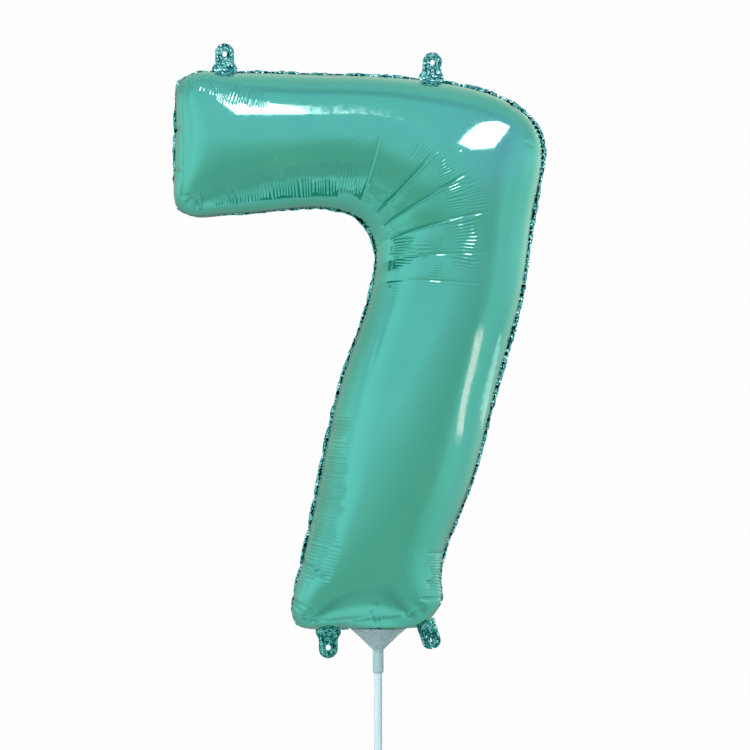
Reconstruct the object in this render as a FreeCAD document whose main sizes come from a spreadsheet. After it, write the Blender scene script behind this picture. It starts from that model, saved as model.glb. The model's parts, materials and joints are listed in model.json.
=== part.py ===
"""Foil number balloon on a stick: a figure seven of two metallised film panels, with a film valve in its
neck, four hanging tabs on its seam, a moulded cup under it and a tube for a stick.

Row frame, in millimetres: Z runs up the stick, X to the right across the front, Y to the back.
The origin is on the stick's axis at its lower end."""

import FreeCAD, Part
import math
import os
import Sketcher

V = FreeCAD.Vector

# ---- Driving dimensions: alias in the sheet, value in millimetres, what it is ----
SIZES = [
    ("stick_exposed", 292.0, "length of the tube below the cup"),
    ("stick_radius", 2.5, "outside radius of the tube"),
    ("stick_bore", 1.8, "inside radius of the tube"),
    ("spigot_radius", 2.3, "outside radius of the tube's reduced upper end"),
    ("spigot_length", 8.0, "length of the reduced end"),
    ("turn_clearance", 0.03, "radial running clearance of the reduced end in the cup"),
    ("end_clearance", 0.2, "clearance at both ends of the reduced end"),
    ("sleeve_radius", 3.4, "outside radius of the cup's sleeve"),
    ("sleeve_height", 14.2, "height of the sleeve, up to the bowl"),
    ("throat_radius", 1.8, "radius of the hole between the socket and the bowl"),
    ("bowl_radius", 18.0, "outside radius of the bowl at its rim"),
    ("bowl_height", 14.0, "height of the bowl above the sleeve"),
    ("waist_radius", 12.6, "outside radius where the bowl turns up to its rim"),
    ("waist_height", 9.0, "height of that turn above the sleeve"),
    ("cup_wall", 1.0, "wall of the cup at its rim"),
    ("cone_wall", 1.6, "wall of the bowl's cone, measured level"),
    ("bead", 0.4, "height and width of the bead round the rim"),
    ("film", 0.3, "thickness of one panel's film"),
    ("seal_width", 2.0, "width of the sealed edge round the inflated body"),
    ("roundness", 0.95, "depth of the inflated body as a share of its width"),
    ("deepest", 47.0, "largest half depth of the inflated body"),
    ("end_rise", 90.0, "distance from a closed end to the full depth"),
    ("end_depth", 2.5, "half depth of the inflated body at a closed end"),
    ("seat_width", 37.8, "width of the notch in the sealed edge over the cup"),
    ("seat_gap", 0.4, "gap between the cup's rim and the sealed edge above it"),
    ("valve_film", 0.1, "thickness of one valve film"),
    ("valve_width", 6.0, "width of the valve"),
    ("valve_inside", 38.0, "length of the valve above the neck"),
    ("neck_width", 20.0, "width of the neck at the body"),
    ("neck_tip_width", 7.0, "width of the neck's lower end"),
    ("neck_length", 10.0, "length of the neck below the body"),
    ("tab_width", 12.0, "width of a hanging tab"),
    ("tab_foot_width", 16.0, "width of a tab at its foot"),
    ("tab_foot_height", 3.6, "height of the tab's tapered foot"),
    ("tab_height", 15.6, "height of a tab"),
    ("tab_hole_radius", 1.7, "radius of the hole in a tab"),
    ("tab_hole_height", 8.9, "height of that hole above the foot"),
    ("tab_film", 0.5, "thickness of a tab: two films and their seal"),
]

# ---- Edges of the inflated body, as pairs of points across the stroke: (inner X, Z), (outer X, Z).
# They run from the bar's closed end, round the bend and down the stem to its closed end ----
STROKE = [
    ((-126.0, 586.0), (-126.0, 658.0)),
    ((-117.0, 580.8), (-115.0, 664.6)),
    ((-92.0, 580.0), (-90.0, 666.5)),
    ((-60.0, 581.6), (-50.0, 666.2)),
    ((-33.0, 582.2), (-8.0, 664.8)),
    ((-16.8, 578.0), (40.0, 660.8)),
    ((-6.8, 570.0), (78.0, 650.4)),
    ((-1.4, 556.0), (100.2, 627.0)),
    ((-2.4, 540.0), (98.8, 592.0)),
    ((-21.4, 479.6), (76.6, 480.0)),
    ((-42.4, 384.2), (48.8, 382.0)),
    ((-50.5, 342.8), (37.2, 341.0)),
    ((-51.0, 329.5), (35.4, 329.5)),
    ((-46.0, 320.4), (25.0, 321.4)),
]
SPANS = 3  # lofts in a row: the bar, the bend and the stem
STEPS = 9  # cross-section steps in each loft

# ---- Hanging tabs: label, X and Z of the foot's middle, and where the tab points: degrees from +Z to +X ----
TABS = [
    ("hanging_tab_top_left", -96.0, 669.7, 0.0),
    ("hanging_tab_top_right", 33.2, 664.3, 4.0),
    ("hanging_tab_bottom_left", -31.2, 316.6, 180.0),
    ("hanging_tab_bottom_right", 30.8, 319.6, 162.0),
]

doc = FreeCAD.newDocument("foil_number_balloon")
sheet = doc.addObject("Spreadsheet::Sheet", "Sizes")
for row, (alias, value, note) in enumerate(SIZES, start=1):
    sheet.set(f"A{row}", note)
    sheet.set(f"B{row}", str(value))
    sheet.setAlias(f"B{row}", alias)
doc.recompute()

CUP_FOOT = "(Sizes.stick_exposed + Sizes.end_clearance)"
SLEEVE_TOP = f"({CUP_FOOT} + Sizes.sleeve_height)"
CUP_RIM = f"({SLEEVE_TOP} + Sizes.bowl_height)"
SEAT = f"({CUP_RIM} + Sizes.seat_gap)"


def size(alias):
    """Reads one driving dimension back from the sheet."""
    return float(sheet.get(alias))


def new_body(label):
    body = doc.addObject("PartDesign::Body", label)
    body.Label = label
    return body


def new_sketch(body, name, role):
    """Adds a sketch to a body, on the body's own origin plane."""
    sketch = body.newObject("Sketcher::SketchObject", name)
    plane = next(item for item in body.Origin.OriginFeatures if item.Role == role)
    sketch.AttachmentSupport = [(plane, "")]
    sketch.MapMode = "FlatFace"
    return sketch


def pin_point(sketch, geometry, point, across, up):
    """Holds a point of the sketch at the two expressions, measured from the sketch's origin."""
    for kind, expression in (("DistanceX", across), ("DistanceY", up)):
        value = evaluate(expression)
        index = sketch.addConstraint(Sketcher.Constraint(kind, -1, 1, geometry, point, value))
        sketch.setExpression(f"Constraints[{index}]", expression)


def add_polygon(sketch, corners):
    """Draws a closed polygon whose corners are pairs of expressions."""
    count = len(corners)
    spots = [V(evaluate(across), evaluate(up), 0) for across, up in corners]
    lines = [sketch.addGeometry(Part.LineSegment(spots[i], spots[(i + 1) % count])) for i in range(count)]
    for i, line in enumerate(lines):
        sketch.addConstraint(Sketcher.Constraint("Coincident", line, 2, lines[(i + 1) % count], 1))
    for line, (across, up) in zip(lines, corners):
        pin_point(sketch, line, 1, across, up)
    return lines


def evaluate(expression):
    """Works out an expression over the sheet as a number."""
    return float(sheet.evalExpression(expression.replace("Sizes.", "")))


def revolve(body, sketch, name):
    turn = body.newObject("PartDesign::Revolution", name)
    turn.Profile = sketch
    turn.ReferenceAxis = (sketch, ["V_Axis"])
    turn.Angle = 360
    return turn


def pad_both_ways(body, sketch, name, thickness):
    """Pads a sketch by the thickness expression, half to each side of its plane."""
    pad = body.newObject("PartDesign::Pad", name)
    pad.Profile = sketch
    pad.Midplane = True
    pad.setExpression("Length", thickness)
    return pad


# ---- Stick: a tube whose upper end is reduced to turn in the cup ----
def make_stick():
    body = new_body("stick")
    sketch = new_sketch(body, "StickSection", "XZ_Plane")
    top = "Sizes.stick_exposed + Sizes.spigot_length"
    add_polygon(sketch, [
        ("Sizes.stick_bore", "0"),
        ("Sizes.stick_radius", "0"),
        ("Sizes.stick_radius", "Sizes.stick_exposed"),
        ("Sizes.spigot_radius", "Sizes.stick_exposed"),
        ("Sizes.spigot_radius", top),
        ("Sizes.stick_bore", top),
    ])
    revolve(body, sketch, "StickTube")
    return body


# ---- Cup: a sleeve for the stick under a shallow bowl for the balloon ----
def make_cup():
    body = new_body("cup")
    sketch = new_sketch(body, "CupSection", "XZ_Plane")
    socket = "Sizes.spigot_radius + Sizes.turn_clearance"
    stop = f"{CUP_FOOT} + Sizes.spigot_length"
    waist = f"{SLEEVE_TOP} + Sizes.waist_height"
    bead_foot = f"{CUP_RIM} - Sizes.bead"
    add_polygon(sketch, [
        (socket, CUP_FOOT),
        ("Sizes.sleeve_radius", CUP_FOOT),
        ("Sizes.sleeve_radius", SLEEVE_TOP),
        ("Sizes.waist_radius", waist),
        ("Sizes.bowl_radius", bead_foot),
        ("Sizes.bowl_radius + Sizes.bead", bead_foot),
        ("Sizes.bowl_radius + Sizes.bead", CUP_RIM),
        ("Sizes.bowl_radius - Sizes.cup_wall", CUP_RIM),
        ("Sizes.waist_radius - Sizes.cone_wall", waist),
        ("Sizes.throat_radius", SLEEVE_TOP),
        ("Sizes.throat_radius", stop),
        (socket, stop),
    ])
    revolve(body, sketch, "CupBody")
    return body


# ---- Inflated body: lofts through ellipses that stand across the stroke ----
def stroke_edges():
    """Smooth curves along the stroke's inner and outer edges, sharing one parameter from 0 to 1."""
    middles = [V((a[0] + b[0]) / 2, 0, (a[1] + b[1]) / 2) for a, b in STROKE]
    travel = [0.0]
    for before, after in zip(middles, middles[1:]):
        travel.append(travel[-1] + before.distanceToPoint(after))
    parameters = [step / travel[-1] for step in travel]
    edges = []
    for side in (0, 1):
        curve = Part.BSplineCurve()
        points = [V(pair[side][0], 0, pair[side][1]) for pair in STROKE]
        curve.interpolate(Points=points, Parameters=parameters)
        edges.append(curve)
    return edges, travel[-1]


def add_ellipse(name, start, end, inset, run, shift):
    """One cross-section from edge to edge. run is its distance from the nearer closed end."""
    across = end.sub(start)
    half = across.Length / 2
    across.normalize()
    ring = doc.addObject("Part::Ellipse", name)
    rise = f"sqrt(1 - (1 - min({run:.3f} / Sizes.end_rise; 1)) ^ 2)"
    depth = f"max(Sizes.end_depth; min({half:.3f} * Sizes.roundness; Sizes.deepest) * {rise})"
    ring.setExpression("MajorRadius", f"{half:.3f} - {inset}")
    ring.setExpression("MinorRadius", f"{depth} - {inset}")
    turn = FreeCAD.Rotation(across, V(0, 1, 0), V(-across.z, 0, across.x), "XYZ")
    ring.Placement = FreeCAD.Placement(start.add(end).multiply(0.5).add(shift), turn)
    return ring


def loft_stroke(name, inset):
    """The inflated body drawn in by inset on every side: solid lofts end to end, joined."""
    (inner, outer), length = stroke_edges()
    stations = [i / (SPANS * STEPS) for i in range(SPANS * STEPS + 1)]
    rings = []
    for i, u in enumerate(stations):
        start, end = inner.value(u), outer.value(u)
        shift = V(0, 0, 0)
        if u in (0.0, 1.0):
            beside = stations[1] if u == 0.0 else stations[-2]
            shift = inner.value(beside).add(outer.value(beside)).sub(start).sub(end)
            shift.normalize()
            shift.multiply(evaluate(inset))
        run = min(u, 1 - u) * length
        rings.append(add_ellipse(f"{name}Ring{i}", start, end, inset, run, shift))
    spans = []
    for first in range(0, SPANS * STEPS, STEPS):
        loft = doc.addObject("Part::Loft", f"{name}Span{first}")
        loft.Sections = rings[first:first + STEPS + 1]
        loft.Solid = True
        spans.append(loft)
    whole = doc.addObject("Part::MultiFuse", name)
    whole.Shapes = spans
    return whole


def add_slab(name, width, low, high, half_depth, middle="0"):
    """A box across Y, centred on X = middle, between two heights."""
    slab = doc.addObject("Part::Box", name)
    slab.setExpression("Length", width)
    slab.setExpression("Width", f"2 * ({half_depth})")
    slab.setExpression("Height", f"({high}) - ({low})")
    slab.setExpression("Placement.Base.x", f"({middle}) - ({width}) / 2")
    slab.setExpression("Placement.Base.y", f"-({half_depth})")
    slab.setExpression("Placement.Base.z", low)
    return slab


def two_way(kind, name, base, tool):
    """A boolean of two objects."""
    result = doc.addObject(kind, name)
    result.Base = base
    result.Tool = tool
    return result


def widened(curve, side, margin):
    """The curve moved sideways by margin, and run on by margin past both of its ends."""
    points = []
    stations = [i / (SPANS * STEPS) for i in range(SPANS * STEPS + 1)]
    for u in stations:
        along = curve.tangent(u)[0]
        away = V(-along.z, 0, along.x).multiply(side * margin)
        run_on = along.multiply(margin * ((u == 1.0) - (u == 0.0)))
        points.append(curve.value(u).add(away).add(run_on))
    result = Part.BSplineCurve()
    result.interpolate(Points=points, Parameters=stations)
    return result


def make_edge_plate():
    """The flat plate that the sealed edge is left of: the stroke's outline, widened, with a seat for the cup."""
    (inner, outer), _ = stroke_edges()
    margin = size("seal_width")
    inner, outer = widened(inner, -1, margin), widened(outer, 1, margin)
    first = Part.LineSegment(outer.value(0), inner.value(0))
    last = Part.LineSegment(inner.value(1), outer.value(1))
    loop = Part.Wire([curve.toShape() for curve in (first, inner, last, outer)])
    outline = doc.addObject("Part::Feature", "EdgeOutline")
    outline.Shape = Part.Face(loop)
    plate = doc.addObject("Part::Extrusion", "EdgePlate")
    plate.Base = outline
    plate.DirMode = "Custom"
    plate.Dir = V(0, 1, 0)
    plate.Solid = True
    plate.setExpression("LengthFwd", "Sizes.film")
    plate.setExpression("LengthRev", "Sizes.film")
    seat = add_slab("CupSeat", "Sizes.seat_width", f"{SEAT} - 10", SEAT, "1")
    return two_way("Part::Cut", "SeatedPlate", plate, seat)


def make_neck():
    """The flat tail below the body, which hangs in the bowl of the cup."""
    body = doc.addObject("PartDesign::Body", "NeckShape")
    sketch = new_sketch(body, "NeckOutline", "XZ_Plane")
    root = f"{SEAT} + 1"
    tip = f"{SEAT} - Sizes.neck_length"
    add_polygon(sketch, [
        ("-Sizes.neck_tip_width / 2", tip),
        ("Sizes.neck_tip_width / 2", tip),
        ("Sizes.neck_width / 2", SEAT),
        ("Sizes.neck_width / 2", root),
        ("-Sizes.neck_width / 2", root),
        ("-Sizes.neck_width / 2", SEAT),
    ])
    pad_both_ways(body, sketch, "NeckPad", "2 * Sizes.film")
    return body


def make_panels():
    """Front and back film panels, each with half of the sealed edge and half of the neck."""
    hull = loft_stroke("Hull", "0")
    cavity = loft_stroke("Cavity", "Sizes.film")
    edge = two_way("Part::Fuse", "EdgeAndNeck", make_edge_plate(), make_neck())
    pillow = two_way("Part::Fuse", "Pillow", hull, edge)
    skin = two_way("Part::Cut", "Skin", pillow, cavity)
    valve_foot = f"{SEAT} - Sizes.neck_length - 1"
    slot = add_slab("ValveSlot", "Sizes.valve_width", valve_foot, f"{SEAT} + 2", "Sizes.valve_film")
    open_skin = two_way("Part::Cut", "OpenSkin", skin, slot)
    panels = []
    for label, side in (("front_panel", -1), ("back_panel", 1)):
        half = doc.addObject("Part::Box", f"{label}_half_space")
        half.Length, half.Width, half.Height = 400, 100, 800
        half.Placement.Base = V(-200, -100 if side < 0 else 0, 0)
        panel = two_way("Part::Common", label, open_skin, half)
        panel.Label = label
        panels.append(panel)
    return panels


# ---- Valve: two thin films in the neck that lie shut against each other ----
def make_valve_film(label, side):
    film = doc.addObject("Part::Box", label)
    film.Label = label
    film.setExpression("Length", "Sizes.valve_width")
    film.setExpression("Width", "Sizes.valve_film")
    film.setExpression("Height", "Sizes.neck_length + Sizes.valve_inside")
    film.setExpression("Placement.Base.x", "-Sizes.valve_width / 2")
    film.setExpression("Placement.Base.y", "-Sizes.valve_film" if side < 0 else "0")
    film.setExpression("Placement.Base.z", f"{SEAT} - Sizes.neck_length")
    return film


# ---- Hanging tab: a flat tongue of sealed film with a round tip and a punched hole ----
def make_tab(label, foot_x, foot_z, heading):
    body = new_body(label)
    sketch = new_sketch(body, f"{label}_outline", "XZ_Plane")
    half, foot = size("tab_width") / 2, size("tab_foot_width") / 2
    waist, crown = size("tab_foot_height"), size("tab_height") - size("tab_width") / 2
    lines = [
        Part.LineSegment(V(-foot, 0, 0), V(foot, 0, 0)),
        Part.LineSegment(V(foot, 0, 0), V(half, waist, 0)),
        Part.LineSegment(V(half, waist, 0), V(half, crown, 0)),
        Part.LineSegment(V(-half, crown, 0), V(-half, waist, 0)),
        Part.LineSegment(V(-half, waist, 0), V(-foot, 0, 0)),
    ]
    base, right, right_side, left_side, left = [sketch.addGeometry(line) for line in lines]
    arc = Part.ArcOfCircle(Part.Circle(V(0, crown, 0), V(0, 0, 1), half), 0, math.pi)
    tip = sketch.addGeometry(arc)
    for join in [(base, 2, right, 1), (right, 2, right_side, 1), (left_side, 2, left, 1), (left, 2, base, 1)]:
        sketch.addConstraint(Sketcher.Constraint("Coincident", *join))
    for join in [(right_side, 2, tip, 1), (tip, 2, left_side, 1)]:
        sketch.addConstraint(Sketcher.Constraint("Tangent", *join))
    pin_point(sketch, base, 1, "-Sizes.tab_foot_width / 2", "0")
    pin_point(sketch, base, 2, "Sizes.tab_foot_width / 2", "0")
    pin_point(sketch, right, 2, "Sizes.tab_width / 2", "Sizes.tab_foot_height")
    pin_point(sketch, left, 1, "-Sizes.tab_width / 2", "Sizes.tab_foot_height")
    pin_point(sketch, tip, 3, "0", "Sizes.tab_height - Sizes.tab_width / 2")
    round_end = sketch.addConstraint(Sketcher.Constraint("Radius", tip, half))
    sketch.setExpression(f"Constraints[{round_end}]", "Sizes.tab_width / 2")
    pad_both_ways(body, sketch, f"{label}_pad", "Sizes.tab_film")
    doc.recompute()

    punch = new_sketch(body, f"{label}_punch", "XZ_Plane")
    ring = punch.addGeometry(Part.Circle(V(0, size("tab_hole_height"), 0), V(0, 0, 1), size("tab_hole_radius")))
    pin_point(punch, ring, 3, "0", "Sizes.tab_hole_height")
    radius = punch.addConstraint(Sketcher.Constraint("Radius", ring, size("tab_hole_radius")))
    punch.setExpression(f"Constraints[{radius}]", "Sizes.tab_hole_radius")
    hole = body.newObject("PartDesign::Pocket", f"{label}_hole")
    hole.Profile = punch
    hole.Type = "ThroughAll"
    hole.Midplane = True
    turn = FreeCAD.Rotation(V(0, 1, 0), heading)
    body.Placement = FreeCAD.Placement(V(foot_x, 0, foot_z), turn)
    return body


pieces = [make_stick(), make_cup()]
pieces += make_panels()
pieces.append(make_valve_film("valve_front_film", -1))
pieces.append(make_valve_film("valve_back_film", 1))
pieces += [make_tab(*tab) for tab in TABS]
doc.recompute()

for item in doc.Objects:
    if "Invalid" in item.State or "Error" in item.State:
        raise RuntimeError(f"{item.Name} did not build: {item.State}")
for piece in pieces:
    if piece.Shape.isNull() or not piece.Shape.isValid() or len(piece.Shape.Solids) != 1:
        raise RuntimeError(f"{piece.Label} is not one valid solid")

os.makedirs("parts", exist_ok=True)
for piece in pieces:
    piece.Shape.exportStep(f"parts/{piece.Label}.step")
    box = piece.Shape.BoundBox
    print(f"{piece.Label}: {piece.Shape.Volume:.1f} mm3, "
          f"X {box.XMin:.2f}..{box.XMax:.2f}, Y {box.YMin:.2f}..{box.YMax:.2f}, Z {box.ZMin:.2f}..{box.ZMax:.2f}")
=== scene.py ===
"""Foil number balloon on a stick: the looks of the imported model.

The film is inflated by a small solver in this script: a flat pattern, wider than the balloon's outline,
is blown up under pressure with its seam held on that outline, and its cells can shorten but not stretch.
Pleats, creases and puckers are then added to the inflated film. Film work is in millimetres."""

import bpy
import json
import math
import mathutils
import numpy as np
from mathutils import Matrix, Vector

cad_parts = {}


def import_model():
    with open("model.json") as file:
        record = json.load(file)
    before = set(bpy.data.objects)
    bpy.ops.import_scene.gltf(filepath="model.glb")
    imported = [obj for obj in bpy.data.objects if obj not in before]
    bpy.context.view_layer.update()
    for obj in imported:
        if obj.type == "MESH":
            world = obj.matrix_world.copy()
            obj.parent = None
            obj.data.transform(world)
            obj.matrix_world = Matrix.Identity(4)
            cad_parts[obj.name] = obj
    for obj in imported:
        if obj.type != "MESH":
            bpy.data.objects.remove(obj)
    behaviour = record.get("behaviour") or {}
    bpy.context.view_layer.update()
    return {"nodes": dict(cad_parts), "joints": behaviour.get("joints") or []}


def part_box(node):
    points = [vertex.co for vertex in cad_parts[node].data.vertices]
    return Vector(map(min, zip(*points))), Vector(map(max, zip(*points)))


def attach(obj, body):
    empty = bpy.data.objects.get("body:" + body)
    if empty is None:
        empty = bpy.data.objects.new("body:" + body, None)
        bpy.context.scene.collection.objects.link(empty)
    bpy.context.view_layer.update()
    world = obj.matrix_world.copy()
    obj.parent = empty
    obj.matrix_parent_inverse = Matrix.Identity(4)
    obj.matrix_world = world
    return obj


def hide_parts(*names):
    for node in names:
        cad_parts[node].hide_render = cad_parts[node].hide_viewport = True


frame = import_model()
MM = 0.001

# ---- Seam of the inflated body in mm, as pairs across the stroke: (inner X, Z), (outer X, Z) ----
SEAM = [
    ((-124.6, 582.6), (-124.0, 661.6)),
    ((-119.6, 579.6), (-117.0, 665.2)),
    ((-108.0, 578.8), (-104.0, 666.4)),
    ((-84.0, 579.8), (-78.0, 666.8)),
    ((-57.0, 582.0), (-40.0, 665.8)),
    ((-35.0, 582.4), (0.0, 664.6)),
    ((-20.0, 579.6), (40.0, 660.8)),
    ((-9.0, 572.6), (76.0, 651.4)),
    ((-2.6, 560.0), (100.4, 630.0)),
    ((-2.2, 543.0), (98.6, 588.0)),
    ((-8.6, 516.0), (90.0, 531.0)),
    ((-21.4, 479.6), (76.6, 480.0)),
    ((-40.0, 397.0), (53.0, 397.0)),
    ((-50.0, 350.0), (38.6, 350.0)),
    ((-52.6, 332.0), (37.0, 334.0)),
    ((-50.4, 322.4), (28.0, 323.0)),
]
END_BULGE = (2.6, 2.4)      # how far the two closed ends bow out, bar then stem
GATHER = 22.0               # how far the flat pattern is wider than the seam on each side
INNER_GATHER = 260.0        # how much less it is wider where the seam is hollow
SCALLOP = 21.0              # length of the scallops of the sealed edge beside the stem
SCALLOP_TOP = 445.0         # and the height where they start
TAB_WIDTH = 12.0            # width of a hanging tab
TAB_FOOT_HEIGHT = 3.6       # height of its tapered foot
TAB_HOLE_RADIUS = 1.7
TAB_HOLE_HEIGHT = 8.9
TAB_THICK = 0.2
TAB_RINGS, TAB_TURNS = 26, 144
TAB_CRUMPLE = {"hanging_tab_bottom_right": 0.84}    # the length that a crumpled tab keeps
# How deep each tab's lengthwise folds are, how far its tip curls back, how far its hole is squeezed, how much
# of its foot's flare is left, and how far its foot reaches over the sealed edge
TAB_FOLDS = {
    "hanging_tab_top_left": (1.3, 0.4, 0.8, 1.0, 2.6),
    "hanging_tab_top_right": (1.3, 0.8, 0.8, 1.0, 2.6),
    "hanging_tab_bottom_left": (1.3, -0.6, 0.9, 1.0, 3.2),
    "hanging_tab_bottom_right": (1.9, -2.4, 0.2, 0.1, 6.5),
}
SEAT_SPREAD = 30.0          # how far from the stick's axis the film's foot is drawn down to the cup
SEAT_RISE = 10.0            # how high above the cup's rim it still is
COARSE = (121, 29)          # solver cells along and across
FINE = ((1141, 94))       # finished film along and across
# How close the finished film's rows are, by place: the number of the pair of SEAM
ROW_DENSITY = [(0, 1.2), (2, 1.4), (3, 1.5), (5, 1.6), (6, 2.2), (9.8, 2.2), (10.4, 0.7), (10.8, 0.7),
               (11.1, 1.5), (13.2, 1.5), (13.7, 1.0), (15, 0.9)]


def natural_spline(points, params, at):
    """Natural cubic spline through points, one row each, read at the parameters in at."""
    p = np.asarray(points, float)
    t = np.asarray(params, float)
    n = len(t)
    h = np.diff(t)
    shape = (n,) + (1,) * (p.ndim - 1)
    matrix = np.zeros((n, n))
    right = np.zeros((n, p[0].size))
    flat = p.reshape(n, -1)
    matrix[0, 0] = matrix[-1, -1] = 1
    for i in range(1, n - 1):
        matrix[i, i - 1:i + 2] = h[i - 1], 2 * (h[i - 1] + h[i]), h[i]
        right[i] = 6 * ((flat[i + 1] - flat[i]) / h[i] - (flat[i] - flat[i - 1]) / h[i - 1])
    m = np.linalg.solve(matrix, right)
    k = np.clip(np.searchsorted(t, at, side="right") - 1, 0, n - 2)
    d = (np.asarray(at) - t[k])[:, None]
    step = h[k][:, None]
    slope = (flat[k + 1] - flat[k]) / step - step * (2 * m[k] + m[k + 1]) / 6
    value = flat[k] + d * (slope + d * (m[k] / 2 + d * (m[k + 1] - m[k]) / (6 * step)))
    return value.reshape((len(at),) + p.shape[1:])


def key(pairs, at):
    """A smooth curve through (place, value) pairs, flat at each of them."""
    x, y = np.array(pairs, float).T
    k = np.clip(np.searchsorted(x, at, side="right") - 1, 0, len(x) - 2)
    f = np.clip((at - x[k]) / (x[k + 1] - x[k]), 0, 1)
    f = f * f * (3 - 2 * f)
    return y[k] * (1 - f) + y[k + 1] * f


def stroke_params():
    """Distance along the middle of the stroke at each pair of SEAM."""
    mid = np.array([(np.array(a) + np.array(b)) / 2 for a, b in SEAM])
    return np.concatenate([[0], np.cumsum(np.linalg.norm(np.diff(mid, axis=0), axis=1))])


def seam_sides(nu, nv):
    """Seam points of a grid: inner and outer edges along the stroke, then its two closed ends."""
    s = stroke_params()
    pairs = natural_spline(np.array(SEAM, float), s, np.linspace(0, s[-1], nu))
    inner, outer = pairs[:, 0], pairs[:, 1]
    w = np.linspace(0, 1, nv)[:, None]
    bow = np.sqrt(4 * w * (1 - w))
    first = inner[0] * (1 - w) + outer[0] * w + bow * np.array([-END_BULGE[0], 0])
    last = inner[-1] * (1 - w) + outer[-1] * w + bow * np.array([0, -END_BULGE[1]])
    return inner, outer, first, last


def to_loop(inner, outer, first, last):
    """One closed loop: along the inner edge, the stem's end, back along the outer edge, the bar's end."""
    return np.concatenate([inner, last[1:], outer[::-1][1:], first[::-1][1:-1]])


def from_loop(loop, nu, nv):
    """The four sides of a closed loop made by to_loop."""
    a, b = nu - 1, nu + nv - 2
    inner, last = loop[:nu], loop[a:a + nv]
    outer = loop[b:b + nu][::-1]
    first = np.concatenate([loop[b + nu - 1:], loop[:1]])[::-1]
    return inner, outer, first, last


def fill_grid(inner, outer, first, last):
    """A flat grid between four sides."""
    u = np.linspace(0, 1, len(inner))[:, None, None]
    v = np.linspace(0, 1, len(first))[None, :, None]
    corners = ((1 - u) * (1 - v) * inner[0] + u * v * outer[-1]
               + u * (1 - v) * inner[-1] + (1 - u) * v * outer[0])
    return (1 - v) * inner[:, None] + v * outer[:, None] + (1 - u) * first + u * last - corners


def blur(values, times):
    """Values round a loop, each averaged with its neighbours."""
    for _ in range(times):
        values = 0.25 * np.roll(values, 1, 0) + 0.5 * values + 0.25 * np.roll(values, -1, 0)
    return values


def loop_normals(loop):
    """Outward normals of a loop that runs anticlockwise seen from the front."""
    t = np.roll(loop, -1, 0) - np.roll(loop, 1, 0)
    t /= np.linalg.norm(t, axis=1)[:, None]
    return np.stack([t[:, 1], -t[:, 0]], 1)


def flat_pattern(nu, nv):
    """The film's flat cut: the seam widened by GATHER, and by less in the hollow of the digit."""
    loop = to_loop(*seam_sides(nu, nv))
    soft = blur(loop, 3)
    tangent = np.roll(soft, -1, 0) - np.roll(soft, 1, 0)
    angle = np.unwrap(np.arctan2(tangent[:, 1], tangent[:, 0]))
    bend = np.gradient(angle) / (0.5 * np.linalg.norm(tangent, axis=1))
    hollow = blur(np.clip(-bend, 0, 0.05), 30)
    out = GATHER - INNER_GATHER * hollow
    return fill_grid(*from_loop(blur(loop + loop_normals(soft) * out[:, None], 4), nu, nv))


def links(rest):
    """Groups of links with no point in common: their two ends and their length in the flat pattern."""
    nu, nv = rest.shape[:2]
    groups = []
    for du, dv in ((1, 0), (0, 1), (1, 1), (1, -1)):
        for start in (0, 1):
            if du:
                rows = np.arange(start, nu - 1, 2)
                cols = np.arange(max(0, -dv), nv - max(0, dv))
            else:
                rows = np.arange(nu)
                cols = np.arange(start, nv - 1, 2)
            a, b = np.ix_(rows, cols), np.ix_(rows + du, cols + dv)
            groups.append((a, b, np.linalg.norm(rest[a] - rest[b], axis=-1)))
    return groups


def gas_force(x):
    """Pressure on each point of the front film, pushing it to the front."""
    n = np.cross(x[1:, 1:] - x[:-1, :-1], x[:-1, 1:] - x[1:, :-1]) / 8
    force = np.zeros_like(x)
    for part in (force[1:, 1:], force[:-1, :-1], force[:-1, 1:], force[1:, :-1]):
        part += n
    return force if n[..., 1].sum() < 0 else -force


def inflate(rest, seam, steps, sweeps=8, push=0.35, drag=0.94):
    """The front film blown up from its flat pattern, with its rim held on the seam."""
    nu, nv = rest.shape[:2]
    rim = np.ones((nu, nv), bool)
    rim[1:-1, 1:-1] = False
    u, v = np.linspace(0, 1, nu)[:, None], np.linspace(0, 1, nv)[None]
    x = seam.copy()
    x[..., 1] = -8 * np.sin(np.pi * v) * np.minimum(1, 12 * np.minimum(u, 1 - u))
    groups = links(rest)
    cell = groups[0][2].mean() * groups[2][2].mean()
    speed = np.zeros_like(x)
    for _ in range(steps):
        speed = speed * drag + gas_force(x) * (push / cell)
        y = x + speed
        y[rim] = seam[rim]
        for _ in range(sweeps):
            for a, b, length in groups:
                d = y[b] - y[a]
                now = np.sqrt((d * d).sum(-1)) + 1e-12
                d *= (0.5 * np.maximum(now - length, 0) / now)[..., None]
                y[a] += d
                y[b] -= d
            y[rim] = seam[rim]
            np.minimum(y[..., 1], 0, out=y[..., 1])
        speed = y - x
        x = y
    return x


def blown_film():
    """The inflated front film on the coarse grid, in mm."""
    nu, nv = COARSE
    seam = np.zeros((nu, nv, 3))
    seam[..., 0::2] = fill_grid(*seam_sides(nu, nv))
    film = inflate(flat_pattern(nu, nv), seam, 420)
    for _ in range(2):
        inside = (film[:-2, 1:-1] + film[2:, 1:-1] + film[1:-1, :-2] + film[1:-1, 2:]) / 4
        film[1:-1, 1:-1] = 0.5 * film[1:-1, 1:-1] + 0.5 * inside
    return film


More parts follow.
